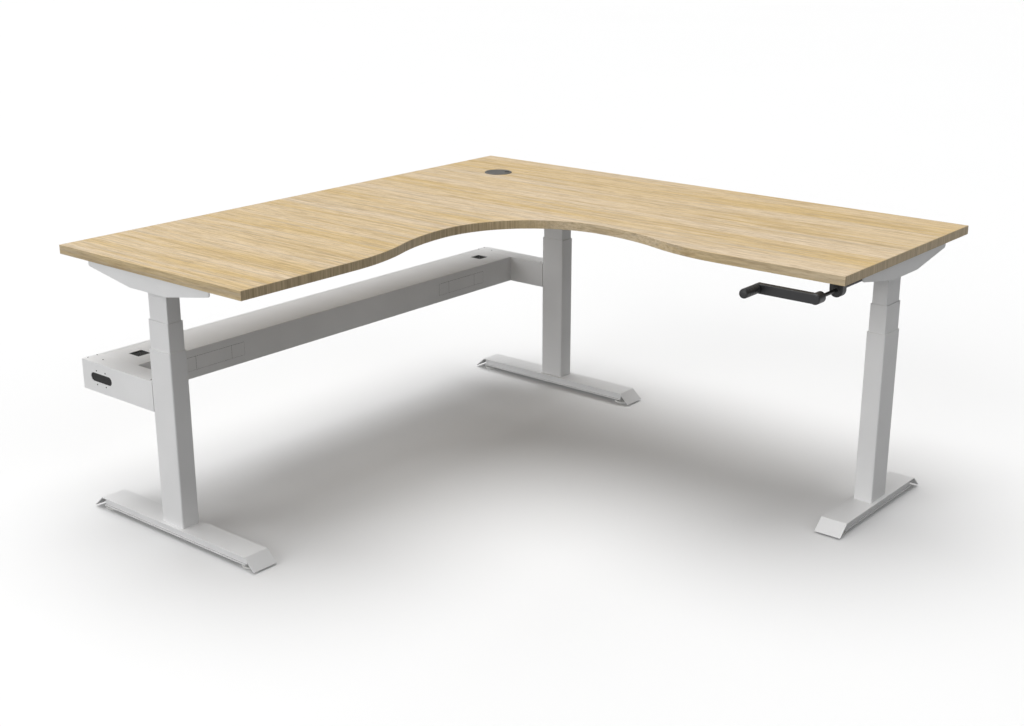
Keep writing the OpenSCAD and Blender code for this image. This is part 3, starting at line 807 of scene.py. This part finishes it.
@dataclass
class Foot:
    """One foot: a bent plate over a channel, four bolts and two levelling glides."""

    leg: Leg
    width: float = 0.078
    top: float = 0.038
    tip: float = 0.006
    slope: float = 0.036
    sheet: float = 0.003
    bend: float = 0.005

    def plate(self) -> None:
        """Builds the bent plate with rounded bends."""
        flat, angle = self.leg.foot / 2, math.atan2(self.top - self.tip, self.slope)
        degrees, tip, steps = math.degrees(angle), flat + self.slope, 5
        hold = flat - self.bend * math.tan(angle / 2)
        inner, level = self.bend - self.sheet, self.top - self.bend
        short = tip - self.sheet / math.sin(angle)
        bm = bmesh.new()
        path = Outline(bm, -tip, self.tip)
        path.line(-hold - self.bend * math.sin(angle), level + self.bend * math.cos(angle))
        path.arc(-hold, level, -degrees, steps).line(hold, self.top)
        path.arc(hold, level, -degrees, steps).line(tip, self.tip).line(short, self.tip)
        path.line(hold + inner * math.sin(angle), level + inner * math.cos(angle))
        path.arc(hold, level, degrees, steps).line(-hold, self.top - self.sheet)
        path.arc(-hold, level, degrees, steps).line(-short, self.tip)
        raise_plate(bm, path.close(), self.width)
        ease(bm, 0.0006, 2, 50.0)
        upright = shift(0.0, self.width / 2) @ facing(Axis.Y, -1)
        node = f"foot_plate_{self.leg.name}"
        finish(f"{node}_bent", bm, Look.WHITE, "base", (node,), self.leg.place() @ upright)

    def glide(self, side: str) -> None:
        """Builds one levelling glide: a pad, a hexagon and a stud.

        Args:
            side: Front or back.
        """
        node = f"glide_{self.leg.name}_{side}"
        low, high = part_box(node)
        r = (high[0] - low[0]) / 2
        pad = turned([(0.0, 0.0), (r - 0.002, 0.0), (r, 0.0012), (r, 0.0034),
                      (r - 0.001, 0.0046), (r - 0.003, 0.0054), (0.012, 0.006),
                      (0.0085, 0.0075), (0.0, 0.0075)], 56)
        join_into(pad, hexagon(0.0072, 0.004, 0.0004), shift(0.0, 0.0, 0.0095))
        root, crest, pitch = 0.0034, 0.0040, 0.0016
        threads = [(0.0, 0.0070)]
        for turn in range(14):
            rise = turn * pitch
            threads += [(root, 0.0075 + rise), (crest, 0.0083 + rise)]
        stud = turned(threads + [(root, high[2] - 0.0004), (0.0, high[2])], 24)
        join_into(pad, stud, Matrix.Identity(4))
        middle = shift((low[0] + high[0]) / 2, (low[1] + high[1]) / 2)
        finish(f"{node}_turned", pad, Look.NYLON, node, (node,), middle)

    def build(self) -> None:
        """Builds the whole foot."""
        self.plate()
        eased_copy(f"foot_channel_{self.leg.name}", 0.0006, Look.WHITE, "base")
        self.glide("front")
        self.glide("back")


@dataclass
class Fastenings:
    """The bolts under the feet and the screws under the board."""

    legs: list[Leg]

    def bolts(self) -> None:
        """Builds the hexagon bolts with their washers, heads down."""
        bm = bmesh.new()
        for leg, x, y in product(self.legs, (-0.030, 0.030), (-0.014, 0.014)):
            join_into(bm, hexagon(0.0064, 0.0042, 0.0005), leg.place(0.0291) @ shift(x, y))
            washer = turned([(0.004, 0.0), (0.0078, 0.0), (0.0078, 0.0008), (0.004, 0.0008)],
                            24, looped=True)
            join_into(bm, washer, leg.place(0.0312) @ shift(x, y))
            shank = turned([(0.0, 0.0), (0.004, 0.0), (0.004, 0.0112), (0.0034, 0.012),
                            (0.0, 0.012)], 20)
            join_into(bm, shank, leg.place(0.032) @ shift(x, y))
        finish("foot_bolts_hexagon", bm, Look.BOLT, "base", ("foot_bolts",))

    def screws(self) -> None:
        """Builds the screws that hold the brackets to the board, heads down."""
        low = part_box("frame_screws")[0][2]
        bm = bmesh.new()
        for leg, x in product(self.legs, (-0.22, -0.12, 0.12, 0.22)):
            spot = leg.place(low + 0.003) @ shift(x, 0.0)
            join_into(bm, screw_head(0.005, 0.003), spot @ facing(Axis.Z, -1))
            shank = turned([(0.0, 0.0), (0.0025, 0.0), (0.0025, 0.015), (0.0, 0.017)], 16)
            join_into(bm, shank, spot)
        finish("frame_screws_domed", bm, Look.BOLT, "top", ("frame_screws",))

    def build(self) -> None:
        """Builds all the fastenings."""
        self.bolts()
        self.screws()


@dataclass
class Underframe:
    """The brackets, rails and gear housings under the board."""

    legs: list[Leg]
    reach: float = 0.024
    side: float = 0.0422
    side_z: float = 0.714

    def housing_screws(self) -> None:
        """Builds four cap screws on each gear housing: on the legs' ends, under the other."""
        bm = bmesh.new()
        rows = (-self.reach, self.reach)
        for leg, sign, y in product(self.legs, (-1, 1), rows):
            spot = leg.place() @ shift(sign * self.side, y, self.side_z)
            join_into(bm, screw_head(0.003, 0.0016), spot @ facing(Axis.X, sign))
        low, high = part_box("transfer_gearbox")
        centre = shift((low[0] + high[0]) / 2, (low[1] + high[1]) / 2)
        for x, y in product(rows, rows):
            spot = centre @ shift(x, y, low[2])
            join_into(bm, screw_head(0.003, 0.0016), spot @ facing(Axis.Z, -1))
        finish("housing_screws", bm, Look.BOLT, "top")

    def build(self) -> None:
        """Builds the underframe."""
        for leg in self.legs:
            eased_copy(f"side_bracket_{leg.name}", 0.0012, Look.WHITE, "top", 3)
            eased_copy(f"gearbox_{leg.name}", 0.0015, Look.CAST, "top", 3)
        eased_copy("transfer_gearbox", 0.0012, Look.CAST, "top", 3)
        eased_copy("left_wing_rails", 0.0009, Look.WHITE, "top", 2)
        eased_copy("right_wing_rails", 0.0009, Look.WHITE, "top", 2)
        self.housing_screws()


@dataclass
class Crank:
    """The hand crank: an arm with two bosses, a spinning grip and a bearing under the board."""

    tall: float = 0.026
    thick: float = 0.020
    hub: float = 0.015

    def __post_init__(self) -> None:
        """Reads the shaft's axis and the crank's throw from the frame."""
        low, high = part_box("crank_arm")
        self.shaft_x = high[0] - self.hub
        self.throw = self.shaft_x - low[0] - self.tall / 2
        self.axis_z = (low[2] + high[2]) / 2
        self.front, self.back = low[1], high[1]

    def along(self, distance: float) -> Matrix:
        """A place on the arm's front face, so far from the shaft, facing the bearing."""
        return shift(self.shaft_x - distance, self.front, self.axis_z) @ facing(Axis.Y)

    def arm(self) -> None:
        """Builds the arm with a boss at each end."""
        bm = bmesh.new()
        outline = rounded(bm, self.throw + self.tall, self.tall, self.tall / 2, 12)
        raise_plate(bm, outline, self.thick)
        ease(bm, 0.0022, 3, 40.0)
        r = self.hub
        hub = turned([(0.0, 0.0014), (r - 0.0030, 0.0014), (r - 0.0012, 0.0022),
                      (r - 0.0004, 0.0036), (r, 0.0056), (r, 0.0342), (r - 0.0008, 0.0353),
                      (r - 0.0022, 0.036), (0.005, 0.036), (0.005, 0.0105), (0.0, 0.0105)], 56)
        r = self.tall / 2
        boss = turned([(0.0, -0.0004), (r - 0.0030, -0.0004), (r - 0.0012, 0.0004),
                       (r + 0.0004, 0.0020), (r + 0.0004, 0.0180), (r - 0.0008, 0.0194),
                       (r - 0.0024, 0.0202), (0.0, 0.0202)], 56)
        bmesh.ops.transform(bm, matrix=self.along(self.throw / 2), verts=bm.verts[:])
        join_into(bm, hub, self.along(0.0))
        join_into(bm, boss, self.along(self.throw))
        finish("crank_arm_cast", bm, Look.BLACK, "crank", ("crank_arm",))
        grub = screw_head(0.0028, 0.0010)
        spot = shift(self.shaft_x, self.back - 0.008, self.axis_z - self.hub + 0.0002)
        finish("crank_grub_screw", grub, Look.BOLT, "crank", (), spot @ facing(Axis.Z, -1))

    def grip(self) -> None:
        """Builds the grip with a rounded end, three shallow rings and a collar."""
        low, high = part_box("grip")
        r, end = (high[0] - low[0]) / 2, high[1] - low[1]
        profile = [(0.0, 0.0), (0.0060, 0.0), (0.0095, 0.0008), (0.0120, 0.0026), (r, 0.0058)]
        for at in (0.018, 0.030, 0.042):
            profile += [(r, at - 0.0012), (r - 0.0005, at - 0.0006), (r - 0.0005, at + 0.0006),
                        (r, at + 0.0012)]
        profile += [(r, end - 0.0125), (r - 0.0012, end - 0.0112), (r - 0.0012, end - 0.0088),
                    (r, end - 0.0075), (r, end - 0.0015), (r - 0.0012, end), (0.0044, end),
                    (0.0044, 0.0094), (0.0, 0.0094)]
        place = shift((low[0] + high[0]) / 2, low[1], (low[2] + high[2]) / 2) @ facing(Axis.Y)
        finish("grip_turned", turned(profile, 56), Look.HANDLE, "grip", ("grip",), place)

    def bearing(self) -> None:
        """Builds the bearing block and its bush."""
        low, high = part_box("bearing_block")
        half, deep = (high[0] - low[0]) / 2, high[1] - low[1]
        x, top = (low[0] + high[0]) / 2, high[2] - self.axis_z
        bm = bmesh.new()
        path = Outline(bm, -half, top).line(-half, 0.0).arc(0.0, 0.0, 180, 28).line(half, top)
        raise_plate(bm, path.close() + ring_of(bm, 0.0052, (0.0, 0.0), 32), deep)
        ease(bm, 0.0012, 3, 50.0)
        upright = shift(x, high[1], self.axis_z) @ facing(Axis.Y, -1)
        bmesh.ops.transform(bm, matrix=upright, verts=bm.verts[:])
        bush = turned([(0.0052, 0.0), (0.0105, 0.0), (0.0115, 0.0008), (0.0115, 0.0030),
                       (0.0052, 0.0030)], 48, looped=True)
        join_into(bm, bush, shift(x, low[1] - 0.002, self.axis_z) @ facing(Axis.Y))
        finish("bearing_block_moulded", bm, Look.HANDLE, "top", ("bearing_block",))

    def build(self) -> None:
        """Builds the crank."""
        self.arm()
        self.grip()
        self.bearing()


@dataclass
class CableBeam:
    """The folded steel beam between the left leg and the corner leg."""

    cutout: float = 0.045
    sheet: float = 0.002
    row: float = 0.226
    field: float = 0.048
    groove: float = 0.0008
    rim_y: float = 0.005
    rim_z: float = 0.004
    tooth: float = 0.0047
    screw: tuple[float, float] = (0.0021, 0.0008)

    def __post_init__(self) -> None:
        """Reads the beam's place from the frame."""
        self.low, self.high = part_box("beam_spine")
        self.middle = (self.low[0] + self.high[0]) / 2
        inset = 0.049 + self.cutout / 2
        self.openings = (self.low[1] + inset, self.high[1] - inset)
        self.mid_z = (self.low[2] + self.high[2]) / 2

    def lid(self) -> None:
        """Builds the lid with its two square cable openings."""
        low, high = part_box("beam_lid")
        bm = bmesh.new()
        centre = (self.middle, (low[1] + high[1]) / 2)
        loops = rounded(bm, high[0] - low[0], high[1] - low[1], 0.0012, 2, centre)
        for y in self.openings:
            loops += rounded(bm, self.cutout, self.cutout, 0.0012, 3, (self.middle, y))
        raise_plate(bm, loops, self.sheet)
        ease(bm, 0.0009, 2, 50.0)
        finish("beam_lid_sheet", bm, Look.BEAM, "base", ("beam_lid",), shift(0.0, 0.0, low[2]))

    def seals(self) -> None:
        """Builds the thin dark seals in the grooves round the knock-out socket plates."""
        low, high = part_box("socket_plates")
        tall, middle = high[2] - low[2] - 2 * self.rim_z, (low[2] + high[2]) / 2
        reach = self.row / 2 + self.rim_y
        side = (self.row - self.field) / 2
        fields = ((-side, self.field), (0.0, self.row - 2 * self.field), (side, self.field))
        bm = bmesh.new()
        for centre, (aside, wide) in product((low[1] + reach, high[1] - reach), fields):
            seal = bmesh.new()
            loops = rounded(seal, tall, wide, 0.0006, 2)
            loops += rounded(seal, tall - self.groove, wide - self.groove, 0.0003, 2)
            raise_plate(seal, loops, self.sheet * 0.9)
            spot = shift(self.high[0] - self.sheet, centre + aside, middle)
            join_into(bm, seal, spot @ facing(Axis.X))
        finish("socket_seals", bm, Look.RUBBER, "base")

    def flaps(self) -> None:
        """Builds the rubber flaps under the lid's openings, slit from corner to corner."""
        bm = bmesh.new()
        for y in self.openings:
            made = bmesh.ops.create_grid(bm, x_segments=1, y_segments=1, size=0.0255,
                                         matrix=shift(self.middle, y, self.high[2] - 0.0034))
            faces = list({f for v in made["verts"] for f in v.link_faces})
            bmesh.ops.poke(bm, faces=faces)
        crack(bm, (0.975, 0.975, 1.0), 0.0010)
        finish("beam_lid_flaps", bm, Look.RUBBER, "base")

    def brush(self, name: str, wall: float, inward: int) -> None:
        """Builds the slotted rubber strip behind one arm's cable slot.

        Args:
            name: The piece's name.
            wall: Y of the wall's inner face.
            inward: 1 if the arm's inside is towards +Y, else -1.
        """
        bm = bmesh.new()
        loops = rounded(bm, 0.104, 0.035, 0.0174, 8)
        bmesh.ops.triangle_fill(bm, use_beauty=True, use_dissolve=True, edges=loops)
        cuts = [((step * self.tooth, 0, 0), (1.0, 0.0, 0.0)) for step in range(-10, 11)]
        for point, normal in [*cuts, ((0, 0, 0), (0.0, 1.0, 0.0))]:
            bmesh.ops.bisect_plane(bm, geom=bm.verts[:] + bm.edges[:] + bm.faces[:],
                                   plane_co=point, plane_no=normal)
        crack(bm, (0.93, 0.97, 1.0), 0.0012)
        place = shift(self.middle, wall + inward * 0.0002, self.mid_z) @ facing(Axis.Y, inward)
        finish(name, bm, Look.RUBBER, "base", (), place)

    def small_screws(self) -> None:
        """Builds the small screws round the slots and on top of the arms."""
        bm = bmesh.new()
        left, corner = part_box("beam_arm_left"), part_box("beam_arm_corner")
        offsets = (-0.020, 0.020)
        for (wall, sign), x, z in product(((left[0][1], -1), (corner[1][1], 1)), offsets, offsets):
            spot = shift(self.middle + x, wall, self.mid_z + z)
            join_into(bm, screw_head(*self.screw), spot @ facing(Axis.Y, sign))
        for (x0, y0, _), (x1, y1, top) in (left, corner):
            for x, y in ((x0 + 0.055, (y0 + y1) / 2), (x0 + 0.006, y0 + 0.016),
                         (x0 + 0.006, y1 - 0.016), (x1 - 0.014, y0 + 0.010)):
                join_into(bm, screw_head(*self.screw), shift(x, y, top))
        finish("beam_screws", bm, Look.BLACK, "base")

    def build(self) -> None:
        """Builds the beam."""
        for node in ("beam_spine", "beam_arm_left", "beam_arm_corner"):
            eased_copy(node, 0.0008, Look.BEAM, "base")
        eased_copy("socket_plates", 0.0003, Look.BEAM, "base")
        self.lid()
        self.seals()
        self.flaps()
        self.brush("slot_strip_left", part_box("beam_arm_left")[0][1] + self.sheet, 1)
        self.brush("slot_strip_corner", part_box("beam_arm_corner")[1][1] - self.sheet, -1)
        self.small_screws()


@dataclass(frozen=True)
class StudioSet:
    """The floor, the lights and the camera."""

    camera_at: Point = (2.4815, -3.0523, 1.6775)
    camera_turn: Point = (71.88, 0.0, 39.70)
    lens: float = 50.75
    ambient: float = 0.19

    def floor(self) -> None:
        """Lays a wide pale floor."""
        bm = bmesh.new()
        bmesh.ops.create_grid(bm, x_segments=2, y_segments=2, size=90.0)
        mesh = bpy.data.meshes.new("studio_floor")
        bm.to_mesh(mesh)
        bm.free()
        mesh.materials.append(Studio("studio floor", (0.82, 0.82, 0.82)).build())
        obj = bpy.data.objects.new("studio_floor", mesh)
        obj.visible_diffuse = False
        bpy.context.scene.collection.objects.link(obj)

    def light(self, name: str, source: Point, spread: float, strength: float) -> None:
        """Sets up a wide, distant soft light.

        Args:
            name: Its name.
            source: The direction that the light comes from.
            spread: How wide it looks from the desk, in degrees.
            strength: Its strength in watts for each square metre.
        """
        lamp = bpy.data.lights.new(name, "SUN")
        lamp.angle = math.radians(spread)
        lamp.energy = strength
        obj = bpy.data.objects.new(name, lamp)
        obj.location = Vector(source) * 5.0
        obj.rotation_euler = Vector(source).to_track_quat("Z", "Y").to_euler()
        bpy.context.scene.collection.objects.link(obj)

    def build(self) -> None:
        """Builds the set."""
        scene = bpy.context.scene
        world = bpy.data.worlds.new("studio")
        world.use_nodes = True
        tree = world.node_tree
        back = tree.nodes["Background"]
        back.inputs["Color"].default_value = (1.0, 1.0, 1.0, 1.0)
        seen = tree.nodes.new("ShaderNodeLightPath")
        level = tree.nodes.new("ShaderNodeMapRange")
        level.inputs["To Min"].default_value = self.ambient
        level.inputs["To Max"].default_value = 1.0
        tree.links.new(seen.outputs["Is Camera Ray"], level.inputs["Value"])
        tree.links.new(level.outputs["Result"], back.inputs["Strength"])
        scene.world = world
        scene.view_settings.view_transform = "Standard"
        self.floor()
        self.light("key light", (-0.16, 0.12, 1.0), 58.0, 2.3)
        self.light("front fill", (-0.15, -0.96, 0.22), 60.0, 1.9)
        self.light("right fill", (0.80, -0.10, 0.60), 40.0, 0.35)
        self.light("left fill", (-0.95, 0.0, 0.30), 60.0, 1.1)
        camera = bpy.data.cameras.new("camera")
        camera.lens = self.lens
        camera.sensor_width = 36.0
        camera.clip_end = 300.0
        eye = bpy.data.objects.new("camera", camera)
        eye.location = self.camera_at
        eye.rotation_euler = tuple(math.radians(a) for a in self.camera_turn)
        scene.collection.objects.link(eye)
        scene.camera = eye


def main() -> None:
    """Builds the desk's looks in order."""
    logging.basicConfig(level=logging.INFO, format="%(name)s: %(message)s")
    StudioSet().build()
    dress_frame()
    legs = read_legs()
    top = Worktop()
    top.build()
    top.grommet_parts()
    for leg in legs:
        Column(leg).build()
        Foot(leg).build()
    Underframe(legs).build()
    Fastenings(legs).build()
    Crank().build()
    CableBeam().build()


if __name__ == "__main__":
    main()
